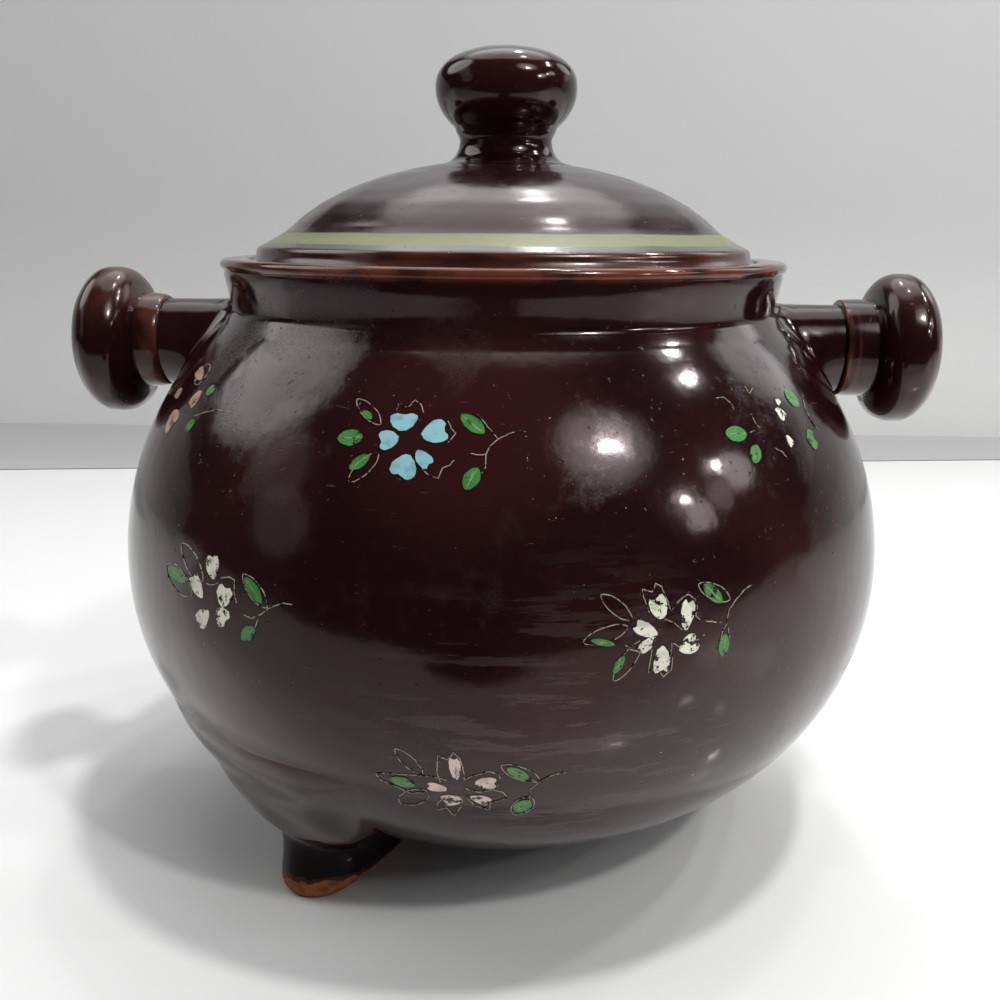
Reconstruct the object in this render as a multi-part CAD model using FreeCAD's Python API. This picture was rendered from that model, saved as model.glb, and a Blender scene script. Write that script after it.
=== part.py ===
"""A lidded stoneware bean pot: a round thrown pot on three luted feet, with two
stub handles that end in knobs, and a domed lid that drops into a recess in the rim.

Millimetres, +Z up. The origin is on the pot's axis at table level, and the handles
lie along X. Clay pieces of one body are luted: each is cut to the surface that it
sits on, so that the two meet face to face.
"""
import FreeCAD, Part
import math
import os

# ---- Pot body ----
belly_radius = 90.0        # half the widest width
belly_height = 67.5        # height of the widest line above the table
shoulder_arc = 73.5        # radius of the arc that closes the belly towards the neck
base_lift = 7.2            # gap between the table and the flat base
wall = 5.0                 # thrown wall of the belly
base_thickness = 6.0
neck_radius = 63.8         # outside, where the collar stands on the shoulder
neck_fillet = 2.2          # soft corner between the collar and the shoulder

# ---- Collar, rim and the recess for the lid ----
collar_rise = 12.6         # from the neck line to the top of the rim
lip_flare = 2.0            # how far the lip stands out beyond the neck
lip_height = 3.0           # height of the rounded lip band
lip_overhang = 0.6         # step from the collar out to the lip
rim_width = 6.4            # from the outside of the lip to the recess
recess_depth = 3.0         # from the top of the rim down to the lid's ledge
ledge_width = 5.4          # ledge that carries the lid
edge_round = 0.8           # softened inner edges of the rim and the ledge

# ---- Lid ----
lid_clearance = 0.8        # all round, between the lid's edge and the recess
lid_wall = 4.5
flange_width = 5.9         # flat margin between the edge and the foot of the dome
flange_cove = 0.25         # hollow of that margin
edge_height = 5.1          # height of the lid's edge above the ledge
edge_roll = 1.6            # rounded top corner of the edge
dome_inset = 2.9           # the dome's full radius is this much inside the edge
dome_rise = 28.4           # from the dome's springing plane to its crown
dome_sink = 3.2            # springing plane below the ledge

# ---- Lid knob ----
knob_stem = 6.7            # crown of the dome to the underside of the knob's head
knob_waist_radius = 10.9
knob_root_fillet = 5.1     # sweep from the waist out on to the dome
knob_head_radius = 16.4
knob_under_rise = 8.9      # underside of the head to its widest line
knob_top_rise = 8.9        # widest line to the top

# ---- Handles ----
handle_drop = 7.9          # handle axis below the neck line
stub_radius = 10.3
stub_bare = 1.4            # shortest bare length of stub between body and ferrule
ferrule_radius = 11.5
ferrule_width = 6.0
disc_radius = 17.2
disc_back = 5.9            # ferrule to the disc's widest line
disc_land = 1.6            # straight part of the disc's rim
disc_crown = 8.8           # rim to the middle of the outer face

# ---- Feet ----
foot_inset = 27.2          # foot centre inside the belly's widest line
pad_radius = 8.4           # round pad that stands on the table
pad_round = 2.2            # softened lower edge of the pad
pad_height = 3.2
ankle_waist = 0.2          # the ankle is this much slimmer than the pad
ankle_height = 9.0
heel_reach = 9.5           # how far the ankle runs in under the base beyond the pad
leg_top = 41.5             # height of the leg's upper edge on the belly
leg_top_proud = 0.5        # stand-off of that edge from the belly
leg_top_angle = 25.5       # half-angle of the belly that the upper edge takes up, degrees
leg_top_root = 7.0         # the section is widest this far inside its meeting with the belly
knee_height = 26.0
knee_proud = 4.2           # stand-off of the leg from the belly at the knee
knee_angle = 24.0
knee_root = 1.0
shin_height = 16.0
shin_proud = 10.3
shin_angle = 15.5
shin_root = -4.0           # widest outside its meeting with the belly
# Direction of each foot from +X, in degrees: luted on by eye, so not quite evenly.
foot_angles = {"foot_front_left": 232.0, "foot_right": 7.0, "foot_back": 118.5}

# ---- Derived sizes of the pot ----
base_arc = belly_height - base_lift
base_radius = belly_radius - base_arc
shoulder_centre = belly_radius - shoulder_arc
neck_height = belly_height + math.sqrt(shoulder_arc**2 - (neck_radius - shoulder_centre)**2)
rim_height = neck_height + collar_rise
lip_radius = neck_radius + lip_flare
recess_radius = lip_radius - rim_width
throat_radius = recess_radius - ledge_width
ledge_height = rim_height - recess_depth
lid_radius = recess_radius - lid_clearance
dome_radius = lid_radius - dome_inset
dome_centre = ledge_height - dome_sink
dome_crown = dome_centre + dome_rise
handle_height = neck_height - handle_drop


def point(radius, height):
    return FreeCAD.Vector(radius, 0, height)


def line(start, end):
    return Part.LineSegment(start, end).toShape()


def arc(start, middle, end):
    return Part.Arc(start, middle, end).toShape()


def round_arc(centre_radius, centre_height, radius, from_angle, to_angle):
    """Arc of a circle in the XZ plane, angles in degrees from the outward direction."""
    angles = (from_angle, (from_angle + to_angle) / 2, to_angle)
    corners = [point(centre_radius + radius * math.cos(math.radians(angle)),
                     centre_height + radius * math.sin(math.radians(angle)))
               for angle in angles]
    return arc(*corners)


def oval_arc(centre_height, half_width, half_height, from_angle, to_angle):
    """Arc of an upright or lying ellipse about the Z axis, seen in the XZ plane."""
    place = FreeCAD.Matrix()
    place.scale(half_width, 1, half_height)
    place.move(point(0, centre_height))
    curve = round_arc(0, 0, 1, from_angle, to_angle).toNurbs()
    return curve.transformGeometry(place).Edges[0]


def turned(edges, axis=FreeCAD.Vector(0, 0, 1)):
    """Solid made by turning a closed outline in the XZ plane about an axis."""
    outline = Part.Wire(Part.__sortEdges__(edges))
    return Part.Face(outline).revolve(FreeCAD.Vector(0, 0, 0), axis, 360)


def belly_outside(height):
    """Outer radius of the belly at a height between the base and the neck."""
    if height >= belly_height:
        return shoulder_centre + math.sqrt(shoulder_arc**2 - (height - belly_height)**2)
    return base_radius + math.sqrt(base_arc**2 - (belly_height - height)**2)


def belly_arcs(inset, low_height, high_radius):
    """Base and shoulder arcs of the belly, set in from the outside by a distance.

    They run from a height near the base up to a radius near the neck. Returns the
    two edges with the lowest and the highest point.
    """
    low_arc = base_arc - inset
    high_arc = shoulder_arc - inset
    low_angle = math.degrees(math.asin((low_height - belly_height) / low_arc))
    high_angle = math.degrees(math.acos((high_radius - shoulder_centre) / high_arc))
    low = round_arc(base_radius, belly_height, low_arc, low_angle, 0)
    high = round_arc(shoulder_centre, belly_height, high_arc, 0, high_angle)
    return [low, high], low.Vertexes[0].Point, high.Vertexes[-1].Point


def outside_edges():
    """Outline of the pot's outside, from the middle of the base to the rim's top."""
    belly, base_corner, neck_corner = belly_arcs(0, base_lift, neck_radius)
    lip_under = point(lip_radius - lip_overhang, rim_height - lip_height)
    collar_middle = point(neck_radius + 0.25 * (lip_under.x - neck_radius),
                          (neck_height + lip_under.z) / 2)
    lip_nose = point(lip_radius, rim_height - lip_height / 2)
    rim_edge = point(lip_under.x - lip_overhang, rim_height)
    edges = [line(point(0, base_lift), base_corner)] + belly
    edges += [arc(neck_corner, collar_middle, lip_under), arc(lip_under, lip_nose, rim_edge)]
    return edges, rim_edge


def soften_neck(solid):
    """Round the corner where the collar stands on the shoulder."""
    ring_centre = point(0, neck_height)
    corner = min(solid.Edges, key=lambda edge: edge.CenterOfMass.distanceToPoint(ring_centre))
    return solid.makeFillet(neck_fillet, [corner])


def pot_envelope():
    """The pot as if it were solid clay: what the luted pieces are cut to."""
    edges, rim_edge = outside_edges()
    rim_middle = point(0, rim_height)
    edges += [line(rim_edge, rim_middle), line(rim_middle, point(0, base_lift))]
    return soften_neck(turned(edges))


def pot_body():
    """The thrown shell: belly, collar, and the recessed rim that takes the lid."""
    edges, rim_edge = outside_edges()
    floor_height = base_lift + base_thickness
    inside, floor_corner, throat_foot = belly_arcs(wall, floor_height, throat_radius)
    rim_inner = point(recess_radius + edge_round, rim_height)
    recess_top = point(recess_radius, rim_height - edge_round)
    recess_corner = point(recess_radius, ledge_height)
    ledge_end = point(throat_radius + edge_round, ledge_height)
    throat_top = point(throat_radius, ledge_height - edge_round)
    bulge = edge_round * (1 - math.sqrt(0.5))
    edges += [
        line(rim_edge, rim_inner),
        arc(rim_inner, point(recess_radius + bulge, rim_height - bulge), recess_top),
        line(recess_top, recess_corner),
        line(recess_corner, ledge_end),
        arc(ledge_end, point(throat_radius + bulge, ledge_height - bulge), throat_top),
        line(throat_top, throat_foot),
        line(floor_corner, point(0, floor_height)),
        line(point(0, floor_height), point(0, base_lift)),
    ]
    return soften_neck(turned(edges + inside))


def dome_angle(radius, half_width):
    """Angle on an ellipse at which it comes to a radius."""
    return math.degrees(math.acos(radius / half_width))


def lid_dome():
    """Domed lid with a flat margin and a rolled edge that stands on the ledge."""
    margin_radius = lid_radius - flange_width
    dome = oval_arc(dome_centre, dome_radius, dome_rise, dome_angle(margin_radius, dome_radius), 90)
    margin = point(margin_radius, dome_centre
                   + dome_rise * math.sqrt(1 - (margin_radius / dome_radius)**2))
    edge_top = point(lid_radius - edge_roll, ledge_height + edge_height)
    edge_side = point(lid_radius, ledge_height + edge_height - edge_roll)
    cove = (margin + edge_top) * 0.5 - point(0, flange_cove)
    bulge = edge_roll * (1 - math.sqrt(0.5))
    roll = point(lid_radius - bulge, edge_top.z - bulge)
    seat_outer = point(lid_radius, ledge_height)
    hollow_radius = dome_radius - lid_wall
    hollow_rise = dome_rise - lid_wall
    seat_angle = math.degrees(math.asin(dome_sink / hollow_rise))
    hollow = oval_arc(dome_centre, hollow_radius, hollow_rise, seat_angle, 90)
    seat_inner = point(hollow_radius * math.cos(math.radians(seat_angle)), ledge_height)
    edges = [
        dome,
        arc(margin, cove, edge_top),
        arc(edge_top, roll, edge_side),
        line(edge_side, seat_outer),
        line(seat_outer, seat_inner),
        hollow,
        line(point(0, dome_centre + hollow_rise), point(0, dome_crown)),
    ]
    return turned(edges)


def lid_knob():
    """Mushroom knob: a flared root, a short waist and an oval head."""
    waist_top = dome_crown + knob_stem
    widest = waist_top + knob_under_rise
    root_radius = knob_waist_radius + knob_root_fillet
    root_height = dome_centre + dome_rise * math.sqrt(1 - (root_radius / dome_radius)**2)
    waist_foot = point(knob_waist_radius, root_height + knob_root_fillet)
    under_slope = math.acos(knob_waist_radius / knob_head_radius)
    under_half = knob_under_rise / math.sin(under_slope)
    buried = point(root_radius, root_height - lid_wall)
    edges = [
        oval_arc(widest, knob_head_radius, knob_top_rise, 0, 90),
        oval_arc(widest, knob_head_radius, under_half, -math.degrees(under_slope), 0),
        line(point(knob_waist_radius, waist_top), waist_foot),
        round_arc(root_radius, waist_foot.z, knob_root_fillet, 180, 270),
        line(point(root_radius, root_height), buried),
        line(buried, point(0, buried.z)),
        line(point(0, buried.z), point(0, widest + knob_top_rise)),
    ]
    dome_solid = turned([
        oval_arc(dome_centre, dome_radius, dome_rise, 0, 90),
        line(point(0, dome_crown), point(0, dome_centre)),
        line(point(0, dome_centre), point(dome_radius, dome_centre)),
    ])
    return turned(edges).cut(dome_solid)


def stub_end():
    """Distance from the pot's axis at which the stub meets the ferrule."""
    return belly_outside(handle_height - ferrule_radius) + stub_bare


def handle_stub(side, envelope):
    """Round stub luted to the shoulder and the collar. Side is +1 or -1 along X."""
    start = FreeCAD.Vector(side * throat_radius, 0, handle_height)
    length = stub_end() - throat_radius
    return Part.makeCylinder(stub_radius, length, start, FreeCAD.Vector(side, 0, 0)).cut(envelope)


def handle_knob(side):
    """Ferrule and domed disc on the end of a stub, turned about the handle's axis."""
    disc_start = stub_end() + ferrule_width
    widest = disc_start + disc_back
    rim_end = widest + disc_land
    tip = rim_end + disc_crown
    waist = math.sqrt(0.5)
    back_middle = FreeCAD.Vector(widest - disc_back * waist, 0,
                                 ferrule_radius + (disc_radius - ferrule_radius) * waist)
    place = FreeCAD.Matrix()
    place.scale(disc_crown, 1, disc_radius)
    place.move(FreeCAD.Vector(rim_end, 0, 0))
    crown = round_arc(0, 0, 1, 0, 90).toNurbs().transformGeometry(place).Edges[0]
    edges = [
        line(point(stub_end(), 0), point(stub_end(), ferrule_radius)),
        line(point(stub_end(), ferrule_radius), point(disc_start, ferrule_radius)),
        arc(point(disc_start, ferrule_radius), back_middle, point(widest, disc_radius)),
        line(point(widest, disc_radius), point(rim_end, disc_radius)),
        crown,
        line(point(tip, 0), point(stub_end(), 0)),
    ]
    knob = turned(edges, FreeCAD.Vector(1, 0, 0))
    if side < 0:
        knob = knob.mirror(FreeCAD.Vector(0, 0, 0), FreeCAD.Vector(1, 0, 0))
    knob.translate(FreeCAD.Vector(0, 0, handle_height))
    return knob


def oval_wire(centre, radial, tangential, height):
    """Level ellipse whose radial axis lies along X."""
    place = FreeCAD.Matrix()
    place.scale(radial, tangential, 1)
    place.move(FreeCAD.Vector(centre, 0, height))
    circle = Part.Circle().toShape().toNurbs()
    return Part.Wire(circle.transformGeometry(place).Edges)


def leg_wire(height, proud, half_angle, root):
    """Section of the leg: an oval that meets the belly at the half-angle on each side."""
    belly = belly_outside(height)
    meet_x = belly * math.cos(math.radians(half_angle))
    meet_y = belly * math.sin(math.radians(half_angle))
    centre = meet_x - root
    radial = belly + proud - centre
    tangential = meet_y / math.sqrt(1 - (root / radial)**2)
    return oval_wire(centre, radial, tangential, height)


def foot_pad():
    """Round pad with a softened lower edge, turned about its own upright axis."""
    bulge = pad_round * (1 - math.sqrt(0.5))
    edges = [
        line(point(0, 0), point(pad_radius - pad_round, 0)),
        arc(point(pad_radius - pad_round, 0), point(pad_radius - bulge, bulge),
            point(pad_radius, pad_round)),
        line(point(pad_radius, pad_round), point(pad_radius, pad_height)),
        line(point(pad_radius, pad_height), point(0, pad_height)),
        line(point(0, pad_height), point(0, 0)),
    ]
    return turned(edges)


def foot(bearing, envelope):
    """Foot with a pad on the table, a heel under the base and a leg on the belly."""
    centre = belly_radius - foot_inset
    pad = foot_pad()
    pad.translate(FreeCAD.Vector(centre, 0, 0))
    half_width = pad_radius - ankle_waist
    ankle = oval_wire(centre - heel_reach / 2, half_width + heel_reach / 2, half_width, ankle_height)
    heel = Part.makeLoft([oval_wire(centre, pad_radius, pad_radius, pad_height), ankle], True, True)
    sections = [
        ankle,
        leg_wire(shin_height, shin_proud, shin_angle, shin_root),
        leg_wire(knee_height, knee_proud, knee_angle, knee_root),
        leg_wire(leg_top, leg_top_proud, leg_top_angle, leg_top_root),
    ]
    leg = pad.fuse([heel, Part.makeLoft(sections, True, False)]).removeSplitter()
    leg.rotate(FreeCAD.Vector(0, 0, 0), FreeCAD.Vector(0, 0, 1), bearing)
    return leg.cut(envelope)


def main():
    envelope = pot_envelope()
    nodes = {
        "pot_body": pot_body(),
        "handle_stub_left": handle_stub(-1, envelope),
        "handle_stub_right": handle_stub(1, envelope),
        "handle_knob_left": handle_knob(-1),
        "handle_knob_right": handle_knob(1),
        "lid_dome": lid_dome(),
        "lid_knob": lid_knob(),
    }
    for name, bearing in foot_angles.items():
        nodes[name] = foot(bearing, envelope)
    os.makedirs("parts", exist_ok=True)
    for name, shape in nodes.items():
        shape.exportStep(os.path.join("parts", name + ".step"))
        box = shape.optimalBoundingBox()
        print(f"{name}: {len(shape.Solids)} solid, {shape.Volume / 1000:.1f} cm3,"
              f" z {box.ZMin:.1f} to {box.ZMax:.1f}, valid {shape.isValid()}")


main()
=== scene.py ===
import bpy
import math
import random
from mathutils import Matrix, Vector


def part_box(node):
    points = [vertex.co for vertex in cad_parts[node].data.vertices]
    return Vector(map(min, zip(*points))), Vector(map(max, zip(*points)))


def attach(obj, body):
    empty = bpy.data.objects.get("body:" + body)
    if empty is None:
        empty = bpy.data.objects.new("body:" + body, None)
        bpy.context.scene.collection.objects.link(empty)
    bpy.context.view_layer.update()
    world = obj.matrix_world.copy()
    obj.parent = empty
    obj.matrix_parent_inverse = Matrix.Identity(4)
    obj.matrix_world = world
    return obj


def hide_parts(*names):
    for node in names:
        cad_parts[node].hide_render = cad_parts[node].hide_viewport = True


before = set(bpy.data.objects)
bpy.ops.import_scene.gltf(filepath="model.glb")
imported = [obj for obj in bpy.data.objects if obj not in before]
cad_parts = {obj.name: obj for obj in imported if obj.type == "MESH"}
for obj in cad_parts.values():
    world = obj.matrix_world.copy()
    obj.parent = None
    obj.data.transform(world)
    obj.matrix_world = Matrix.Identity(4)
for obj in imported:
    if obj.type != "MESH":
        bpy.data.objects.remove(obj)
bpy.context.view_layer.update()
mm = 0.001


# ---- Pot body ----
# A round belly thrown in one with its collar and its rim, which has a recess for the
# lid. Stoneware under a dark oxblood glaze that breaks to orange where the lip thins it.
body_low, body_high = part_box("pot_body")
belly_radius = body_high.y
base_height = body_low.z
rim_height = body_high.z
belly_height = 67.5 * mm          # of the widest line
wall = 5.0 * mm
floor_thickness = 6.0 * mm
shoulder_arc = 73.5 * mm
base_arc = belly_height - base_height
base_radius = belly_radius - base_arc
shoulder_centre = belly_radius - shoulder_arc
collar_rise = 12.6 * mm
neck_height = rim_height - collar_rise
neck_radius = shoulder_centre + math.sqrt(shoulder_arc**2 - (neck_height - belly_height)**2)
lip_overhang = 2.0 * mm
lip_radius = neck_radius + lip_overhang
lip_half_height = 1.5 * mm
lip_width = 6.4 * mm
recess_radius = lip_radius - lip_width
recess_depth = 3.0 * mm
ledge_width = 5.4 * mm
throat_radius = recess_radius - ledge_width
ledge_height = rim_height - recess_depth
body_steps = 160
crease_angle = math.radians(38)


def arc(centre, radii, from_angle, to_angle, count):
    """Points of an ellipse's arc in the outline's plane, angles in degrees."""
    angles = [math.radians(from_angle + (to_angle - from_angle) * k / count) for k in range(count + 1)]
    return [(centre[0] + radii[0] * math.cos(a), centre[1] + radii[1] * math.sin(a)) for a in angles]


def deselect_all():
    bpy.ops.object.select_all(action="DESELECT")


def turn(name, outline, steps, axis="Z"):
    """Turns a clay piece: its outline is drawn point by point and spun about its axis.

    An outline point is (distance from the axis, place along the axis).
    """
    def place(point):
        return Vector((point[0], 0, point[1])) if axis == "Z" else Vector((point[1], 0, point[0]))

    deselect_all()
    bpy.ops.mesh.primitive_plane_add(size=wall, location=(0, 0, 0))
    piece = bpy.context.object
    piece.name = name
    bpy.ops.object.mode_set(mode="EDIT")
    bpy.ops.mesh.merge(type="CENTER")
    bpy.ops.transform.translate(value=place(outline[0]))
    for here, there in zip(outline, outline[1:]):
        step = place(there) - place(here)
        bpy.ops.mesh.extrude_vertices_move(TRANSFORM_OT_translate={"value": step})
    bpy.ops.mesh.select_all(action="SELECT")
    spin_axis = (0, 0, 1) if axis == "Z" else (1, 0, 0)
    bpy.ops.mesh.spin(steps=steps, angle=math.tau, center=(0, 0, 0), axis=spin_axis)
    bpy.ops.mesh.select_all(action="SELECT")
    bpy.ops.mesh.remove_doubles(threshold=0.01 * mm)
    bpy.ops.mesh.normals_make_consistent(inside=False)
    bpy.ops.object.mode_set(mode="OBJECT")
    bpy.ops.object.shade_smooth_by_angle(angle=crease_angle)
    return piece


def apply_modifiers(piece):
    deselect_all()
    piece.select_set(True)
    bpy.context.view_layer.objects.active = piece
    for modifier in list(piece.modifiers):
        bpy.ops.object.modifier_apply(modifier=modifier.name)


def hand_made(piece, unevenness, lump_size):
    """Takes the machine smoothness off a turned surface, inwards only."""
    lumps = bpy.data.textures.new("lumps_" + piece.name, "CLOUDS")
    lumps.noise_scale = lump_size
    uneven = piece.modifiers.new("unevenness", "DISPLACE")
    uneven.texture = lumps
    uneven.texture_coords = "LOCAL"
    uneven.strength = unevenness
    uneven.mid_level = 1.0
    apply_modifiers(piece)


def node(nodes, kind, **values):
    """Adds a shader node and sets its properties and its named inputs."""
    made = nodes.new("ShaderNode" + kind)
    for key, value in values.items():
        if key in made.inputs:
            made.inputs[key].default_value = value
        elif hasattr(made, key):
            setattr(made, key, value)
        else:
            made.inputs[key.replace("_", " ")].default_value = value
    return made


# Sockets of a Mix node by their order: the factor, its two numbers and its two colours.
mix_factor, first_number, second_number, first_colour, second_colour = 0, 2, 3, 6, 7
mixed_number, mixed_colour = 0, 2


class Glaze:
    """A glaze or paint in the making, to which the sections below add their own marks."""

    def __init__(self, name):
        self.material = bpy.data.materials.new(name)
        self.material.use_nodes = True
        self.nodes = self.material.node_tree.nodes
        self.links = self.material.node_tree.links
        self.shader = self.nodes["Principled BSDF"]
        coordinates = self.nodes.new("ShaderNodeTexCoord")
        self.place = coordinates.outputs["Object"]
        self.colour = None
        self.rough = None
        self.height = None

    def link(self, start, end):
        self.links.new(start, end)
        return end

    def noise(self, size, detail=3.0, roughness=0.5, stretch=(1, 1, 1), shift=(0, 0, 0)):
        """Noise on the piece's own coordinates; its lumps are about the given size."""
        mapping = node(self.nodes, "Mapping", Scale=stretch, Location=shift)
        self.link(self.place, mapping.inputs["Vector"])
        noise = node(self.nodes, "TexNoise", Scale=1 / size, Detail=detail, Roughness=roughness)
        self.link(mapping.outputs["Vector"], noise.inputs["Vector"])
        return noise.outputs["Fac"]

    def ramp(self, value, low, high, low_value=0.0, high_value=1.0):
        """Maps a value smoothly from low..high to the two new values."""
        ramp = node(self.nodes, "MapRange", interpolation_type="SMOOTHSTEP", From_Min=low,
                    From_Max=high, To_Min=low_value, To_Max=high_value)
        self.link(value, ramp.inputs["Value"])
        return ramp.outputs["Result"]

    def sum(self, operation, first, second):
        """A Math node on two values, each a socket or a number."""
        made = node(self.nodes, "Math", operation=operation)
        for socket, value in zip(made.inputs, (first, second)):
            if isinstance(value, (int, float)):
                socket.default_value = value
            else:
                self.link(value, socket)
        return made.outputs["Value"]

    def times(self, first, second):
        return self.sum("MULTIPLY", first, second)

    def plus(self, first, second):
        return self.sum("ADD", first, second)

    def axis(self, index):
        """One coordinate of the place, in metres; 'radius' is the distance from the Z axis."""
        parts = node(self.nodes, "SeparateXYZ")
        self.link(self.place, parts.inputs["Vector"])
        if index != "radius":
            return parts.outputs[index]
        squares = [self.times(parts.outputs[k], parts.outputs[k]) for k in (0, 1)]
        return self.sum("SQRT", self.plus(*squares), 0.0)

    def band(self, value, centre, half_width, softness):
        """1 within a band of a value, falling to 0 at its soft edges."""
        distance = self.sum("ABSOLUTE", self.sum("SUBTRACT", value, centre), 0.0)
        return self.ramp(distance, half_width, half_width + softness, 1.0, 0.0)

    def near(self, spot, radius):
        """1 around a spot, given in millimetres, falling to 0 at the radius."""
        gap = node(self.nodes, "VectorMath", operation="DISTANCE")
        gap.inputs[1].default_value = Vector(spot) * mm
        self.link(self.place, gap.inputs[0])
        return self.ramp(gap.outputs["Value"], radius * 0.2, radius, 1.0, 0.0)

    def paint(self, mask, colour):
        """Lays a colour over what is there, as far as the mask says."""
        mix = node(self.nodes, "Mix", data_type="RGBA")
        if isinstance(self.colour, tuple):
            mix.inputs[first_colour].default_value = (*self.colour, 1)
        else:
            self.link(self.colour, mix.inputs[first_colour])
        mix.inputs[second_colour].default_value = (*colour, 1)
        self.link(mask, mix.inputs[mix_factor])
        self.colour = mix.outputs[mixed_colour]

    def roughen(self, mask, roughness):
        """Gives the skin this roughness, as far as the mask says."""
        mix = node(self.nodes, "Mix", data_type="FLOAT")
        if isinstance(self.rough, float):
            mix.inputs[first_number].default_value = self.rough
        else:
            self.link(self.rough, mix.inputs[first_number])
        mix.inputs[second_number].default_value = roughness
        self.link(mask, mix.inputs[mix_factor])
        self.rough = mix.outputs[mixed_number]

    def dull(self, mask, specular):
        """Takes the shine off where the mask says."""
        self.link(self.ramp(mask, 0.0, 1.0, 0.5, specular), self.shader.inputs["Specular IOR Level"])

    def raise_by(self, value, height):
        """Adds a relief: a value from 0 to 1 stands that many metres high."""
        scaled = self.times(value, height)
        self.height = scaled if self.height is None else self.plus(self.height, scaled)

    def finish(self):
        """Wires colour, roughness and relief to the shader."""
        self.link(self.colour, self.shader.inputs["Base Color"])
        self.link(self.rough, self.shader.inputs["Roughness"])
        bump = node(self.nodes, "Bump", Strength=1.0, Distance=1.0)
        self.link(self.height, bump.inputs["Height"])
        self.link(bump.outputs["Normal"], self.shader.inputs["Normal"])
        return self.material


oxblood_dark = (0.0105, 0.0022, 0.0030)
oxblood_red = (0.036, 0.0080, 0.0085)
# A near black: the glaze's iron specks, and painted shade low on the feet.
specks_and_shade_black = (0.0030, 0.0018, 0.0024)
break_orange = (0.105, 0.028, 0.013)
haze_grey = (0.050, 0.036, 0.036)
scuff_grey = (0.060, 0.046, 0.046)


def oxblood(name, rubbed=()):
    """The glaze itself: clouded dark red, iron specks, a soft skin, pits and rubbed haze.

    Rubbed places, each a spot and a radius in millimetres, carry more of the haze.
    """
    glaze = Glaze(name)
    glaze.shader.inputs["Specular Tint"].default_value = (1.0, 0.84, 0.83, 1)
    glaze.colour = oxblood_dark
    glaze.rough = 0.11
    glaze.paint(glaze.ramp(glaze.noise(38 * mm, 3), 0.44, 0.72, 0.0, 0.5), oxblood_red)
    glaze.paint(glaze.ramp(glaze.noise(4 * mm, 6, 0.7), 0.50, 0.80, 0.0, 0.5), oxblood_red)
    glaze.paint(glaze.ramp(glaze.noise(0.9 * mm, 2), 0.66, 0.74, 0.0, 0.6), specks_and_shade_black)
    wear = glaze.noise(15 * mm, 10, 0.68, shift=(0.31, 0.17, 0.05))
    for spot, radius in rubbed:
        wear = glaze.plus(wear, glaze.times(glaze.near(spot, radius * mm), 0.13))
    speckle = glaze.ramp(glaze.noise(0.45 * mm, 2, shift=(0.5, 0.1, 0.3)), 0.35, 0.65, 0.45, 1.0)
    haze = glaze.times(glaze.ramp(wear, 0.58, 0.68), speckle)
    glaze.paint(glaze.times(haze, 0.14), haze_grey)
    glaze.roughen(haze, 0.30)
    scuffs = glaze.noise(2.2 * mm, 6, 0.7, stretch=(0.35, 0.35, 2.2), shift=(0.7, 0.2, 0.4))
    scuffs = glaze.ramp(scuffs, 0.66, 0.70)
    glaze.paint(glaze.times(scuffs, 0.6), scuff_grey)
    glaze.roughen(scuffs, 0.30)
    glaze.raise_by(glaze.noise(14 * mm, 2), 0.14 * mm)
    glaze.raise_by(glaze.noise(4 * mm, 4, 0.45, shift=(0.3, 0.6, 0.2)), 0.030 * mm)
    glaze.raise_by(glaze.noise(1.6 * mm, 3), 0.010 * mm)
    glaze.raise_by(glaze.ramp(glaze.noise(1.1 * mm, 1, shift=(0.2, 0.4, 0.1)), 0.72, 0.80), -0.05 * mm)
    return glaze


neck_fillet = 2.2 * mm
lip_roll = (1.7 * mm, lip_half_height)
edge_round = 0.8 * mm
edge_radii = (edge_round, edge_round)
floor_height = base_height + floor_thickness
shoulder_end = math.degrees(math.asin((neck_height - belly_height) / shoulder_arc))
inner_shoulder = shoulder_arc - wall
inner_base = base_arc - wall
throat_angle = math.degrees(math.acos((throat_radius - shoulder_centre) / inner_shoulder))
floor_angle = math.degrees(math.asin((belly_height - floor_height) / inner_base))
fillet_start = shoulder_end - 1.6
shoulder = arc((shoulder_centre, belly_height), (shoulder_arc, shoulder_arc), 0, fillet_start, 34)
fillet_centre = (neck_radius + neck_fillet * 0.99, neck_height + neck_fillet * 0.82)
body_outline = [(0, base_height), (base_radius * 0.5, base_height)]
body_outline += arc((base_radius, belly_height), (base_arc, base_arc), -90, 0, 46)
body_outline += shoulder[1:]
body_outline += arc(fillet_centre, (neck_fillet, neck_fillet), 225, 180, 6)
body_outline += [(neck_radius + out * mm, neck_height + up * mm)
                 for out, up in ((0.10, 3.2), (0.30, 4.2), (0.80, 6.6), (1.25, 8.7))]
body_outline += arc((lip_radius - lip_roll[0], rim_height - lip_roll[1]), lip_roll, -60, 90, 12)
body_outline += arc((recess_radius + edge_round, rim_height - edge_round), edge_radii, 90, 180, 6)
body_outline += [(recess_radius, ledge_height)]
body_outline += arc((throat_radius + edge_round, ledge_height - edge_round), edge_radii, 90, 180, 6)
body_outline += arc((shoulder_centre, belly_height), (inner_shoulder, inner_shoulder), throat_angle, 0, 30)
body_outline += arc((base_radius, belly_height), (inner_base, inner_base), 0, -floor_angle, 30)[1:]
body_outline += [(0, floor_height)]
pot_body = turn("pot_body_thrown", body_outline, body_steps)
hand_made(pot_body, unevenness=0.35 * mm, lump_size=42 * mm)

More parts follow.
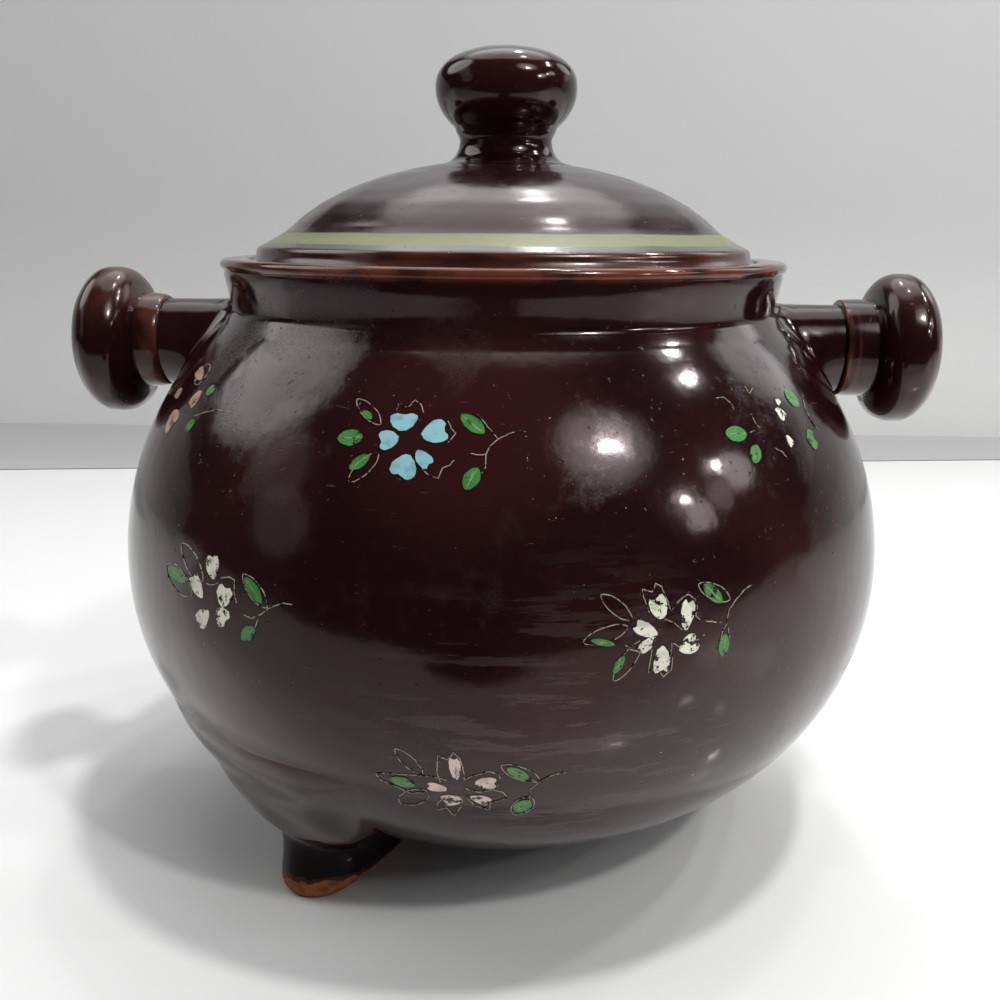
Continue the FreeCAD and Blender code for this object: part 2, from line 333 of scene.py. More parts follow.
rubbed = [((-48, -53, 113), 38), ((21, -75, 103), 18), ((18, -83, 57), 26), ((-10, -82, 52), 24),
          ((53, -55, 110), 26), ((-30, -60, 124), 22), ((-8, -66, 124), 16)]
streak_grey = (0.075, 0.056, 0.056)
glaze = oxblood("oxblood_glaze_pot", rubbed)
height = glaze.axis(2)
glaze.paint(glaze.ramp(glaze.near((-4, -74, 110), 34 * mm), 0.0, 1.0, 0.0, 0.6), oxblood_red)
streaks = glaze.noise(8 * mm, 7, 0.66, stretch=(0.3, 0.3, 2.4), shift=(0.4, 0.1, 0.6))
streaks = glaze.ramp(streaks, 0.54, 0.58)
streaks = glaze.times(streaks, glaze.near((14, -82, 46), 52 * mm))
glaze.paint(glaze.times(streaks, 0.45), streak_grey)
glaze.roughen(glaze.times(streaks, 0.8), 0.34)
glaze.raise_by(glaze.noise(9 * mm, 2, stretch=(0.05, 0.05, 1)), 0.05 * mm)
thin_lip = glaze.band(height, rim_height - 0.8 * mm, 1.0 * mm, 1.6 * mm)
patchy = glaze.ramp(glaze.noise(9 * mm, 4), 0.36, 0.60, 0.25, 1.0)
glaze.paint(glaze.times(thin_lip, patchy), break_orange)
pot_glaze = glaze.finish()
pot_body.data.materials.append(pot_glaze)
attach(pot_body, "pot")
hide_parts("pot_body")


# ---- Feet ----
# Three feet luted to the underside, drawn up over the belly with the thumb. Each has a
# round pad whose glaze was wiped off to the orange clay. They are spaced by eye.
foot_angles = {"foot_front_left": 232.0, "foot_right": 7.0, "foot_back": 118.5}


def pulled(name, rings):
    """A ring of clay pulled along, each step by extrude, tilt and stretch in the XZ plane.

    A ring is in millimetres: (x, z) of its outer end and of its inner end, and half its width.
    """
    deselect_all()
    bpy.ops.mesh.primitive_circle_add(vertices=48, radius=1, fill_type="NGON")
    piece = bpy.context.object
    piece.name = name
    centre, half_length, half_width, tilt = Vector((0, 0, 0)), 1.0, 1.0, 0.0
    bpy.ops.object.mode_set(mode="EDIT")
    bpy.ops.mesh.select_all(action="SELECT")
    for ring in rings:
        if ring != rings[0]:
            bpy.ops.mesh.extrude_region_move(TRANSFORM_OT_translate={"value": (0, 0, 0)})
        outer, inner = (Vector((x, 0, z)) * mm for x, z in ring[:2])
        new_centre = (outer + inner) / 2
        new_length = (outer - inner).length / 2
        new_width = ring[2] * mm
        new_tilt = math.atan2(outer.z - inner.z, outer.x - inner.x)
        stretch = (new_length / half_length, new_width / half_width, 1)
        bpy.ops.transform.rotate(value=-tilt, orient_axis="Y", center_override=centre)
        bpy.ops.transform.resize(value=stretch, center_override=centre)
        bpy.ops.transform.rotate(value=new_tilt, orient_axis="Y", center_override=centre)
        bpy.ops.transform.translate(value=new_centre - centre)
        centre, half_length, half_width, tilt = new_centre, new_length, new_width, new_tilt
    bpy.ops.mesh.select_all(action="SELECT")
    bpy.ops.mesh.normals_make_consistent(inside=False)
    bpy.ops.object.mode_set(mode="OBJECT")
    bpy.ops.object.shade_smooth()
    smooth = piece.modifiers.new("rounding", "SUBSURF")
    smooth.levels = smooth.render_levels = 2
    apply_modifiers(piece)
    return piece


def lute(piece, reach):
    """Smears a piece's root on to the pot: the last millimetres run out along its wall.

    The reach is how far from the wall the smearing starts, given for a vertex's place.
    """
    for vertex in piece.data.vertices:
        _, spot, normal, _ = pot_body.closest_point_on_mesh(vertex.co)
        stand_off = (vertex.co - spot).dot(normal)
        share = stand_off / reach(vertex.co)
        if 0 < share < 1:
            vertex.co = spot + normal * stand_off * share**2 * (3 - 2 * share)


def turned_copy(piece, name, angle):
    """A copy turned about the pot's axis."""
    copy = piece.copy()
    copy.data = piece.data.copy()
    copy.name = name
    bpy.context.collection.objects.link(copy)
    copy.data.transform(Matrix.Rotation(angle, 4, "Z"))
    return copy


def spoke_to(place):
    """A place in its own section, from the centre of the belly's lower arc: out and up."""
    return Vector((math.hypot(place.x, place.y) - base_radius, place.z - belly_height))


def on_spoke(place, spoke):
    """The place moved in its own section to the spoke's end."""
    share = (base_radius + spoke.x) / math.hypot(place.x, place.y)
    return Vector((place.x * share, place.y * share, belly_height + spoke.y))


def into_the_wall(piece):
    """Draws what lies deep under the belly's skin out to just beneath it."""
    skin = 0.5 * mm
    for vertex in piece.data.vertices:
        spoke = spoke_to(vertex.co)
        if spoke.x < 0:
            vertex.co.z = min(vertex.co.z, base_height + skin)
        elif spoke.length < base_arc - skin:
            vertex.co = on_spoke(vertex.co, spoke.normalized() * (base_arc - skin))


def fade_round(piece, full, none):
    """Lets the leg die out round the belly: its stand-off fades between two angles, in degrees."""
    pad_top = 13 * mm
    sink = 0.3 * mm
    for vertex in piece.data.vertices:
        spoke = spoke_to(vertex.co)
        stand_off = spoke.length - base_arc
        angle = abs(math.degrees(math.atan2(vertex.co.y, vertex.co.x)))
        share = max(0.0, min(1.0, (angle - full) / (none - full)))
        keep = 1 - share**2 * (3 - 2 * share)
        if spoke.x >= 0 and stand_off > 0 and vertex.co.z > pad_top:
            spoke = spoke.normalized() * (base_arc + stand_off * keep - sink * (1 - keep))
            vertex.co = on_spoke(vertex.co, spoke)


foot = pulled("foot_pulled", [
    ((69.2, 0), (56.6, 0), 6.2), ((70.8, 0.5), (55.0, 0.5), 7.9), ((71.6, 2.2), (50.5, 1.9), 9.3),
    ((71.3, 5.0), (42.5, 3.6), 10.8), ((70.7, 9.0), (34.5, 6.2), 12.0),
    ((70.4, 12.8), (36.5, 9.0), 12.7), ((70.8, 14.6), (43.0, 12.4), 14.8),
    ((71.6, 16.0), (47.0, 14.8), 17.4), ((73.0, 16.7), (49.0, 16.0), 19.2),
    ((74.0, 18.2), (52.0, 18.2), 21.4), ((75.9, 22.0), (54.0, 22.0), 25.8),
    ((78.6, 27.0), (54.6, 27.0), 30.4), ((82.2, 34.0), (54.8, 34.0), 35.2),
    ((83.9, 38.4), (54.0, 38.4), 38.6), ((84.4, 41.6), (54.0, 41.6), 40.4),
    ((84.1, 44.2), (54.0, 44.2), 40.6), ((82.0, 45.4), (54.0, 45.4), 38.0)])
fade_round(foot, full=9, none=27)
leg_end = 41.0          # the height, in millimetres, where the smearing has run out
lute(foot, lambda place: max(0.4, min(4.0, (leg_end - place.z / mm) * 0.35)) * mm)
into_the_wall(foot)
hand_made(foot, unevenness=0.35 * mm, lump_size=16 * mm)

bare_clay = (0.30, 0.105, 0.048)
stained_clay = (0.16, 0.055, 0.028)
burnt_edge = (0.10, 0.022, 0.010)
glaze = oxblood("oxblood_glaze_feet")
wiped = glaze.plus(glaze.axis(2), glaze.ramp(glaze.noise(7 * mm, 3), 0.3, 0.7, -1.6 * mm, 1.8 * mm))
facing = node(glaze.nodes, "SeparateXYZ")
glaze.link(glaze.nodes.new("ShaderNodeNewGeometry").outputs["Normal"], facing.inputs["Vector"])
under = glaze.ramp(facing.outputs[2], -0.80, -0.45, 1.0, 0.0)
under = glaze.times(under, glaze.ramp(glaze.axis(2), 7.0 * mm, 11.0 * mm, 1.0, 0.0))
bare = glaze.sum("MAXIMUM", glaze.ramp(wiped, 3.2 * mm, 3.7 * mm, 1.0, 0.0), under)
# Painted shade: low down each foot is painted near black and its shine dulled, for the shade under the
# belly.
painted_shade = glaze.ramp(glaze.axis(2), 13.4 * mm, 15.0 * mm, 0.9, 0.0)
glaze.paint(painted_shade, specks_and_shade_black)
glaze.dull(painted_shade, 0.10)
edge = glaze.band(wiped, 4.0 * mm, 0.3 * mm, 0.7 * mm)
glaze.paint(glaze.times(edge, 0.6), burnt_edge)
glaze.paint(bare, bare_clay)
stains = glaze.ramp(glaze.noise(2.5 * mm, 4), 0.45, 0.7)
glaze.paint(glaze.times(bare, stains), stained_clay)
glaze.roughen(bare, 0.85)
glaze.raise_by(glaze.times(bare, glaze.noise(0.7 * mm, 3)), 0.12 * mm)
foot_glaze = glaze.finish()
foot.data.materials.append(foot_glaze)
for name, angle in foot_angles.items():
    leg = turned_copy(foot, name + "_pulled", math.radians(angle))
    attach(leg, "pot")
    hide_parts(name)
bpy.data.objects.remove(foot)


# ---- Handle stubs ----
# Short round bars between the shoulder and the knobs, their roots flared and smeared on
# to the shoulder and up under the lip. A ring of clay pulled along X and mirrored.
handle_height = 115.9
stub_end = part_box("handle_stub_right")[1].x / mm
stub_reach = 4.0 * mm
stub = pulled("handle_stub_pulled", [
    ((stub_end + 2, 125.2), (stub_end + 2, 106.6), 9.3),
    ((stub_end + 1.6, 126.2), (stub_end + 1.6, 105.6), 10.3), ((79.0, 126.2), (81.2, 105.6), 10.3),
    ((73.0, 126.2), (80.8, 105.3), 10.4), ((68.5, 126.2), (80.6, 104.7), 10.8),
    ((67.0, 126.3), (80.2, 104.0), 11.3), ((66.0, 126.4), (79.6, 103.2), 12.0),
    ((65.2, 126.6), (79.0, 102.3), 12.9), ((64.4, 126.8), (78.2, 101.4), 13.9),
    ((63.4, 127.0), (77.2, 100.6), 14.9), ((61.5, 127.2), (75.0, 99.6), 15.6)])
lute(stub, lambda place: stub_reach)
smear = stub.modifiers.new("smeared", "SMOOTH")
smear.factor = 0.5
smear.iterations = 8
apply_modifiers(stub)
hand_made(stub, unevenness=0.2 * mm, lump_size=16 * mm)
glaze = oxblood("oxblood_glaze_stubs")
stub_glaze = glaze.finish()
stub.data.materials.append(stub_glaze)
for name, angle in (("handle_stub_right", 0), ("handle_stub_left", math.pi)):
    bar = turned_copy(stub, name + "_pulled", angle)
    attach(bar, "pot")
    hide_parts(name)
bpy.data.objects.remove(stub)


# ---- Handle knobs ----
# A ferrule and a domed disc turned in one on the wheel and luted to the stub's end. The
# glaze runs thin and orange over the arris of the disc and the edges of the ferrule.
ferrule_radius = 11.5 * mm
ferrule_width = 6.0 * mm
disc_radius = 17.65 * mm
disc_back = 5.9 * mm
disc_land = 1.6 * mm
disc_crown = 8.8 * mm
knob_start = stub_end * mm
disc_start = knob_start + ferrule_width
rim_start = disc_start + disc_back
rim_end = rim_start + disc_land
arris_degrees = 41
arris_angle = math.radians(arris_degrees)
arris = rim_end + disc_crown * math.sin(arris_angle)
arris_radius = disc_radius * math.cos(arris_angle)
ferrule_brown = (0.070, 0.022, 0.013)
arris_orange = (0.16, 0.046, 0.014)


def knob_outline(start, soft, shoulder):
    """Outline of one knob along its axis: ferrule, hollow, disc and crown."""
    points = [(0, start), (ferrule_radius - 1.6 * mm, start)]
    points += arc((ferrule_radius - shoulder, start + soft), (shoulder, soft), -90, 0, 8)
    points += [(ferrule_radius + 0.1 * mm, (start + soft + disc_start) / 2)]
    points += [(ferrule_radius, disc_start - 0.2 * mm)]
    points += arc((ferrule_radius, rim_start), (disc_radius - ferrule_radius, disc_back), -84, 0, 16)
    points += arc((0, rim_end), (disc_radius, disc_crown), 2, arris_degrees, 15)
    points += [(arris_radius - 0.5 * mm, arris + 0.2 * mm), (arris_radius - 1.4 * mm, arris + 0.6 * mm),
               (9.6 * mm, arris + 1.5 * mm), (6.0 * mm, arris + 2.3 * mm), (0, arris + 2.8 * mm)]
    return points


# The ferrules were pressed on by hand: the right one reaches further along its stub, and
# the left one is softer at its edge.
knobs = (("handle_knob_right", 1, knob_start - 1.5 * mm, 0.6 * mm, 0.6 * mm),
         ("handle_knob_left", -1, knob_start, 3.6 * mm, 1.1 * mm))
for name, side, start, soft, shoulder in knobs:
    outline = [(radius, side * along) for radius, along in knob_outline(start, soft, shoulder)]
    knob = turn(name + "_turned", outline, 112, axis="X")
    knob.data.transform(Matrix.Translation((0, 0, handle_height * mm)))
    hand_made(knob, unevenness=0.25 * mm, lump_size=13 * mm)
    glaze = oxblood("oxblood_glaze_" + name)
    across = glaze.times(glaze.axis(0), side)
    patchy = glaze.ramp(glaze.noise(11 * mm, 5, shift=(0.1, 0.3, 0.2)), 0.38, 0.62)
    if side > 0:
        end_band = glaze.band(across, start + 0.5 * mm, 0.5 * mm, 0.7 * mm)
        line = glaze.band(across, start + 2.9 * mm, 0.15 * mm, 0.5 * mm)
        bands = glaze.plus(end_band, glaze.times(line, 0.7))
        glaze.paint(glaze.times(bands, patchy), break_orange)
        thinned = glaze.ramp(glaze.noise(5 * mm, 4), 0.40, 0.55)
        sheen_red, sheen_rough = (0.038, 0.012, 0.011), 0.20
    else:
        bands = glaze.band(across, start + 2.2 * mm, 1.6 * mm, 2.0 * mm)
        glaze.paint(glaze.times(bands, patchy), ferrule_brown)
        thinned = glaze.ramp(glaze.noise(9 * mm, 3), 0.62, 0.75)
        sheen_red, sheen_rough = (0.060, 0.015, 0.012), 0.30
    edge = glaze.band(across, arris - 0.8 * mm, 0.4 * mm, 0.4 * mm)
    lower = glaze.ramp(glaze.axis(2), (handle_height + 2) * mm, (handle_height + 7) * mm, 1.0, 0.3)
    glaze.paint(glaze.times(glaze.times(edge, lower), thinned), arris_orange)
    # Painted sheen: the crown is painted a lighter, mottled red (its colour set above for each side) and
    # made rougher, for the soft light it takes from above.
    mottled = glaze.ramp(glaze.noise(7 * mm, 4, 0.6), 0.38, 0.62, 0.35, 1.0)
    sheen_mask = glaze.ramp(glaze.axis(2), (handle_height + 2) * mm, (handle_height + 15) * mm, 0.0, 0.8)
    sheen_mask = glaze.times(sheen_mask, mottled)
    glaze.paint(sheen_mask, sheen_red)
    glaze.roughen(sheen_mask, sheen_rough)
    knob.data.materials.append(glaze.finish())
    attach(knob, "pot")
    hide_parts(name)


# ---- Lid ----
# A thrown dome whose foot sweeps out to a rolled edge that drops into the recess. A band
# of green slip was laid above the edge as it turned, and its lower side bled into the glaze.
lid_low, lid_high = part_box("lid_dome")
lid_radius = lid_high.y
seat_height = lid_low.z
dome_radius = lid_radius - 2.9 * mm
dome_drop = 3.2 * mm
dome_centre = seat_height - dome_drop
dome_rise = lid_high.z - dome_centre
lid_wall = 4.5 * mm
flare_start = lid_radius - 9.4 * mm
flare_angle = math.degrees(math.acos(flare_start / dome_radius))
flare_bend = Vector((lid_radius - 7.27 * mm, seat_height + 8.15 * mm))
flare_end = Vector((lid_radius - 2.4 * mm, seat_height + 5.8 * mm))
flare_steps = 12
hollow_angle = math.degrees(math.asin(dome_drop / (dome_rise - lid_wall)))
dome = arc((0, dome_centre), (dome_radius, dome_rise), 90, flare_angle, 66)
ring_depth = 0.05 * mm
ripples = [ring_depth * math.sin(k * 0.62) * math.sin(k * 0.13 + 1)**2 for k in range(len(dome))]
lid_outline = [(radius, height - 0.08 * mm + ripple) for (radius, height), ripple in zip(dome, ripples)]
lid_outline[0] = (0, lid_outline[0][1])
flare_root = Vector(lid_outline[-1])
for k in range(1, flare_steps + 1):
    t = k / flare_steps
    lid_outline.append(tuple(flare_root * (1 - t)**2 + flare_bend * 2 * t * (1 - t) + flare_end * t**2))
lid_outline += arc((lid_radius - 2.6 * mm, seat_height + 4.0 * mm), (1.5 * mm, 1.75 * mm), 68, 0, 9)
lid_outline += [(lid_radius - back * mm, seat_height + up * mm)
                for back, up in ((0.9, 3.3), (0.35, 2.7), (0, 2.0), (0, 0.4), (0.4, 0))]
hollow = (dome_radius - lid_wall, dome_rise - lid_wall)
lid_outline += arc((0, dome_centre), hollow, hollow_angle, 90, 40)
lid = turn("lid_dome_thrown", lid_outline, 144)
hand_made(lid, unevenness=0.2 * mm, lump_size=30 * mm)

edge_brown = (0.085, 0.024, 0.013)
bleed_grey = (0.065, 0.075, 0.075)
slip_green = (0.165, 0.185, 0.085)
thin_green = (0.125, 0.15, 0.068)
glaze = oxblood("oxblood_glaze_lid")
glaze.roughen(glaze.ramp(glaze.noise(10 * mm, 5, stretch=(1, 1, 3)), 0.35, 0.65, 0.3, 0.9), 0.24)
out = glaze.axis("radius")
above = glaze.ramp(glaze.axis(2), seat_height + 3.5 * mm, seat_height + 4.0 * mm)
wander = glaze.plus(out, glaze.ramp(glaze.noise(30 * mm, 2), 0.3, 0.7, -0.2 * mm, 0.2 * mm))
worn_edge = glaze.band(out, lid_radius - 0.9 * mm, 1.2 * mm, 0.7 * mm)
brown = glaze.ramp(glaze.noise(12 * mm, 4, stretch=(1, 1, 4)), 0.35, 0.70, 0.25, 0.9)
glaze.paint(glaze.times(worn_edge, brown), edge_brown)
bleed = glaze.band(wander, lid_radius - 3.4 * mm, 0.7 * mm, 0.8 * mm)
glaze.paint(glaze.times(bleed, above), bleed_grey)
slip = glaze.band(wander, lid_radius - 5.9 * mm, 1.6 * mm, 0.6 * mm)
glaze.paint(glaze.times(slip, above), slip_green)
thin = glaze.times(slip, glaze.ramp(glaze.noise(3 * mm, 4, stretch=(1, 1, 3)), 0.5, 0.75, 0, 0.6))
glaze.paint(glaze.times(thin, above), thin_green)
glaze.roughen(glaze.times(slip, above), 0.42)
glaze.shader.inputs["Specular IOR Level"].default_value = 0.75
lid.data.materials.append(glaze.finish())
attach(lid, "lid")
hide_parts("lid_dome")


# ---- Lid knob ----
# A mushroom knob turned on the dome: a root swept into it, a short hollow waist and an
# oval head, flat on top. It carries the same glaze.
crown_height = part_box("lid_knob")[1].z
head_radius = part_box("lid_knob")[1].y
waist_radius = 11.5 * mm
waist_angle = -176          # where the root's arc meets the hollow's, in degrees
root_fillet = 5.1 * mm
head_rise = 8.9 * mm
head_drop = 8.9 * mm
head_height = crown_height - head_rise
under_angle = math.degrees(math.acos(waist_radius / head_radius))
under_half = head_drop / math.sin(math.radians(under_angle))
root_contact = 15.2 * mm
contact_height = dome_centre + dome_rise * math.sqrt(1 - (root_contact / dome_radius)**2)
contact_slope = dome_rise**2 * root_contact / (dome_radius**2 * (contact_height - dome_centre))
contact_angle = -90 - math.degrees(math.atan(contact_slope))
root_middle = (root_contact - root_fillet * math.cos(math.radians(contact_angle)),
               contact_height - root_fillet * math.sin(math.radians(contact_angle)) - 0.05 * mm)
waist_top = head_height - head_drop
waist_hollow = 3.1 * mm
hollow_middle = (waist_radius + 2.35 * mm, waist_top - 3.0 * mm)
root_outline = arc(root_middle, (root_fillet, root_fillet), contact_angle, waist_angle, 14)
hollow_waist = arc(hollow_middle, (waist_hollow, waist_hollow), waist_angle, -222, 8)
head_outline = arc((0, head_height), (head_radius, under_half), -under_angle + 2, 0, 16)
fullness = 0.86          # under 1, the crown is fuller than an ellipse
for degrees in range(5, 90, 5):
    climb = math.radians(degrees)
    head_outline.append((head_radius * math.cos(climb)**fullness,
                         head_height + head_rise * math.sin(climb)**fullness))
head_outline.append((0, crown_height))
knob_foot = contact_height - 0.6 * mm
lid_knob_outline = [(0, knob_foot), (root_contact + 0.4 * mm, knob_foot)]
lid_knob_outline += root_outline + hollow_waist + head_outline
lid_knob = turn("lid_knob_turned", lid_knob_outline, 112)
knob_offset = 0.4 * mm
lid_knob.data.transform(Matrix.Translation((knob_offset, 0, 0)))
hand_made(lid_knob, unevenness=0.2 * mm, lump_size=14 * mm)
glaze = oxblood("oxblood_glaze_lid_knob")
lid_knob.data.materials.append(glaze.finish())
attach(lid_knob, "lid")
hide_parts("lid_knob")


# ---- Enamel sprigs ----
# Small five-petalled flowers with leaves and a twig, painted over the glaze in flat
# enamels and outlined in gilt with a brush. Much of them is worn and chipped.
random.seed(7)
outline_points = 22

# A drawing is in millimetres from the flower's middle, across and up; it lies on the belly
# at an azimuth in degrees and a height. A petal, leaf or loop runs from its base to its
# tip and has a width. A stroke is a line of the brush.
sprigs = {}
sprigs["blue"] = {
    "at": (-99.6, 106.6),
    "petals": [
        ((-2.0, 2.2), (-2.2, 6.1), 5.0), ((1.6, 1.6), (6.4, 3.2), 4.4), ((-2.5, 1.0), (-6.3, 0.1), 3.7),
        ((-0.0, -2.2), (-1.6, -6.7), 4.7), ((1.1, -1.4), (4.1, -4.2), 2.6)],
    "leaves": [
        ((-9.3, 1.0), (-14.3, 0.7), 3.2), ((-7.4, -2.5), (-11.0, -5.1), 2.2),
        ((-8.2, 4.5), (-10.2, 6.1), 1.4), ((12.7, 2.9), (8.1, 6.1), 2.6),
        ((12.3, -3.6), (10.5, -7.7), 2.9)],
    "loops": [
        ((-6.3, 3.4), (-11.9, 8.6), 2.5), ((-5.8, -2.1), (-10.8, -7.5), 2.8)],
    "strokes": [
        [(-3.7, 6.0), (-3.6, 7.6), (-1.8, 6.9), (-0.6, 8.5), (0.6, 7.6), (1.3, 6.0)],
        [(6.0, 4.6), (6.7, 3.3), (7.7, 2.4), (6.5, 0.6)],
        [(2.2, -4.1), (3.8, -5.6), (5.6, -6.0), (6.1, -4.2), (7.4, -3.5), (8.0, -2.6)],
        [(20.0, 4.1), (18.6, 4.1), (17.0, 3.2), (15.2, 2.0), (14.0, 0.6), (13.5, -1.1), (13.6, -3.5),
         (13.1, -4.6)], [(15.2, 2.0), (13.9, 3.4), (12.7, 4.6), (11.0, 6.4)],
        [(13.4, -1.0), (12.0, -1.3), (10.6, -1.1)], [(9.1, 5.0), (11.8, 3.3)],
        [(11.5, -4.3), (11.0, -7.3)], [(-13.0, 0.3), (-9.6, 0.8)]]
}
sprigs["white_right"] = {
    "at": (-69.5, 74.9),
    "petals": [
        ((0.0, 2.3), (-1.4, 6.9), 3.4), ((4.4, -0.2), (5.5, 5.6), 2.7), ((-1.0, -0.4), (-5.7, 2.0), 2.5),
        ((-1.3, -0.8), (-4.7, -3.1), 2.0), ((-0.2, -2.5), (0.0, -8.0), 3.3),
        ((3.4, -3.9), (7.3, -2.2), 3.7)],
    "leaves": [
        ((12.4, 3.9), (8.5, 7.6), 2.5), ((13.1, -2.1), (12.6, -6.4), 2.4),
        ((-9.0, -1.4), (-13.4, -0.3), 1.2), ((-7.3, -3.6), (-9.2, -6.7), 1.5)],
    "loops": [
        ((-5.8, 2.7), (-11.4, 7.7), 2.5), ((-6.6, 1.6), (-14.8, -0.6), 2.8),
        ((-4.2, -1.2), (-9.2, -8.2), 2.8), ((14.2, 4.2), (7.4, 7.7), 2.9)],
    "strokes": [
        [(-2.6, 3.7), (-3.3, 5.8), (-3.8, 8.0), (-1.9, 7.3), (-1.1, 8.8), (0.0, 8.1), (0.7, 6.2),
         (1.6, 3.8)],
        [(1.6, 3.6), (3.4, 5.3), (5.1, 6.2), (6.5, 5.2), (7.0, 3.7), (6.6, 2.1), (7.9, 1.0), (10.0, 0.6),
         (12.1, 0.2)], [(0.4, 2.3), (2.4, 1.2), (3.8, -0.1)], [(1.6, -4.6), (1.8, -2.2), (3.4, -3.2)],
        [(6.8, -2.3), (8.5, -1.6)],
        [(-2.1, -3.0), (-2.7, -7.2), (-1.2, -6.5), (0.4, -8.4), (1.8, -7.2), (2.0, -4.5)],
        [(-7.1, -1.6), (-6.2, -2.6), (-4.4, -3.2)],
        [(19.6, 6.3), (17.4, 5.4), (15.8, 4.1), (14.1, 2.5), (13.5, 0.8), (13.5, -0.7), (14.2, -3.1)],
        [(13.5, 0.0), (12.4, -1.5), (12.0, -3.3)], [(9.3, 7.0), (11.5, 4.5)],
        [(13.1, -2.5), (12.8, -5.5)]]
}
sprigs["white_left"] = {
    "at": (-125.2, 76.7),
    "petals": [
        ((0.1, 2.3), (-1.0, 7.4), 3.5), ((-3.0, -1.8), (-6.9, 2.4), 3.2), ((3.0, -2.2), (3.8, 2.3), 4.0),
        ((-1.1, -3.9), (-4.7, -7.6), 3.3), ((1.6, -2.9), (4.4, -5.2), 4.0)],
    "leaves": [
        ((13.0, 0.6), (8.5, 4.6), 2.5), ((11.5, -4.4), (8.2, -7.4), 2.6),
        ((-8.1, 0.6), (-15.9, 1.2), 2.8)],
    "loops": [
        ((-2.9, 1.5), (-11.3, 7.2), 4.0), ((-6.2, -1.8), (-16.8, 1.6), 4.9),
        ((14.4, -0.0), (7.9, 5.0), 3.2)],
    "strokes": [
        [(20.1, 1.6), (17.8, 1.5), (15.5, 0.4), (13.1, -1.4), (10.8, -2.8), (8.8, -2.5)],
        [(13.1, -1.4), (12.2, -2.9), (11.7, -4.3)], [(14.4, -0.2), (15.5, 0.4)],
        [(2.0, 3.1), (4.4, 3.8), (6.0, 3.5), (6.0, 1.3), (6.9, -0.8)],
        [(-1.9, 1.3), (-0.4, 1.3), (1.6, 2.1)]]
}
sprigs["pink_bottom"] = {
    "at": (-93.2, 45.6),
    "petals": [
        ((0.0, 0.6), (-0.2, 6.8), 2.1), ((3.3, 0.2), (7.6, -0.0), 3.0),
        ((-1.8, -2.2), (-5.8, -1.6), 2.3), ((0.8, -5.0), (-3.4, -6.1), 3.3),
        ((2.4, -3.9), (6.3, -6.0), 2.5)],
    "leaves": [
        ((13.2, 1.0), (9.3, 4.1), 2.3), ((13.1, -5.4), (10.8, -9.3), 3.4),
        ((-7.9, -2.0), (-12.6, -1.0), 2.8)],
    "loops": [
        ((-6.2, 1.4), (-11.0, 7.1), 2.7), ((-5.6, -3.3), (-11.4, -8.6), 4.2),
        ((15.2, 0.3), (8.3, 4.7), 3.2), ((13.5, -4.5), (10.4, -10.4), 4.1)],
    "strokes": [
        [(-1.8, 0.4), (-4.7, 1.1), (-8.5, 0.8), (-12.2, 0.5), (-15.4, -0.3), (-14.4, -2.1),
         (-12.0, -2.9), (-8.9, -4.6), (-6.2, -3.7)],
        [(-3.0, -0.3), (-3.5, 2.6), (-3.1, 6.6), (-1.4, 5.8), (-0.2, 7.5), (1.0, 6.0), (1.4, 3.3),
         (1.5, 0.7)],
        [(1.5, 0.9), (3.4, 2.1), (5.9, 3.2), (7.9, 2.4), (8.0, -0.0), (6.8, -1.7), (3.9, -2.6),
         (1.6, -1.6)],
        [(-2.1, -4.0), (-3.8, -6.5), (-4.4, -9.4), (-2.4, -8.4), (-1.1, -11.2), (0.3, -7.7),
         (0.9, -4.3)],
        [(1.5, -3.7), (3.1, -7.1), (5.7, -8.4), (6.0, -6.0), (7.8, -5.1), (9.3, -4.2), (8.5, -2.6),
         (5.4, -1.4)], [(20.2, 1.9), (18.2, 1.7), (16.4, 0.9), (14.8, -0.5), (13.5, -2.1), (13.3, -6.1)],
        [(14.8, -0.5), (13.4, 1.0)], [(0.0, 4.7), (0.1, 1.4)]]
}
sprigs["pink_left"] = {
    "at": (-145.7, 108.2),
    "petals": [
        ((5.2, 3.2), (3.9, -1.2), 3.4), ((-4.0, -3.6), (0.6, -6.4), 5.6),
        ((-7.6, 2.0), (-8.0, -0.8), 3.4), ((1.4, 5.4), (-4.6, 7.2), 2.6)],
    "leaves": [
        ((9.6, 2.9), (8.6, 5.2), 3.0), ((9.8, -3.0), (7.6, -5.6), 2.4)],
    "loops": [
        ((1.7, 4.1), (-1.4, 8.7), 5.2)],
    "strokes": [
        [(8.6, -2.1), (12.5, -0.3), (16.2, 1.1), (21.0, 1.8)], [(1.8, -0.7), (4.6, 1.3)]]
}
sprigs["faded"] = {
    "at": (-48.0, 103.7),
    "petals": [
        ((5.1, 7.2), (7.1, 4.7), 2.6), ((4.9, 1.5), (5.7, -1.1), 1.7), ((6.7, 9.3), (7.4, 7.9), 1.6)],
    "leaves": [
        ((-6.3, 3.3), (-11.6, 4.0), 3.3), ((-4.7, 0.7), (-7.2, -2.5), 2.8),
        ((14.3, 7.3), (11.4, 10.8), 4.0), ((13.6, 2.0), (13.8, -2.3), 3.9)],
    "loops": [],
    "strokes": [
        [(-2.9, 6.2), (-2.7, 4.7), (-2.1, 3.8)], [(-5.6, 3.2), (-3.9, 3.6), (-3.6, 3.1)],
        [(-0.7, 12.9), (-0.5, 11.1), (1.3, 12.2)], [(17.8, 9.4), (16.2, 6.5), (16.4, 4.3), (17.8, 1.6)],
        [(-0.0, -0.6), (1.9, -1.7), (2.4, -3.1)], [(-9.8, 11.4), (-7.8, 11.3), (-6.8, 9.5), (-6.8, 8.2)]]
}
enamels = {"blue": "blue", "white_right": "white", "white_left": "white", "pink_bottom": "pink",
           "pink_left": "peach", "faded": "white"}
front_sprigs = [(name, *sprigs[name]["at"]) for name in sprigs]
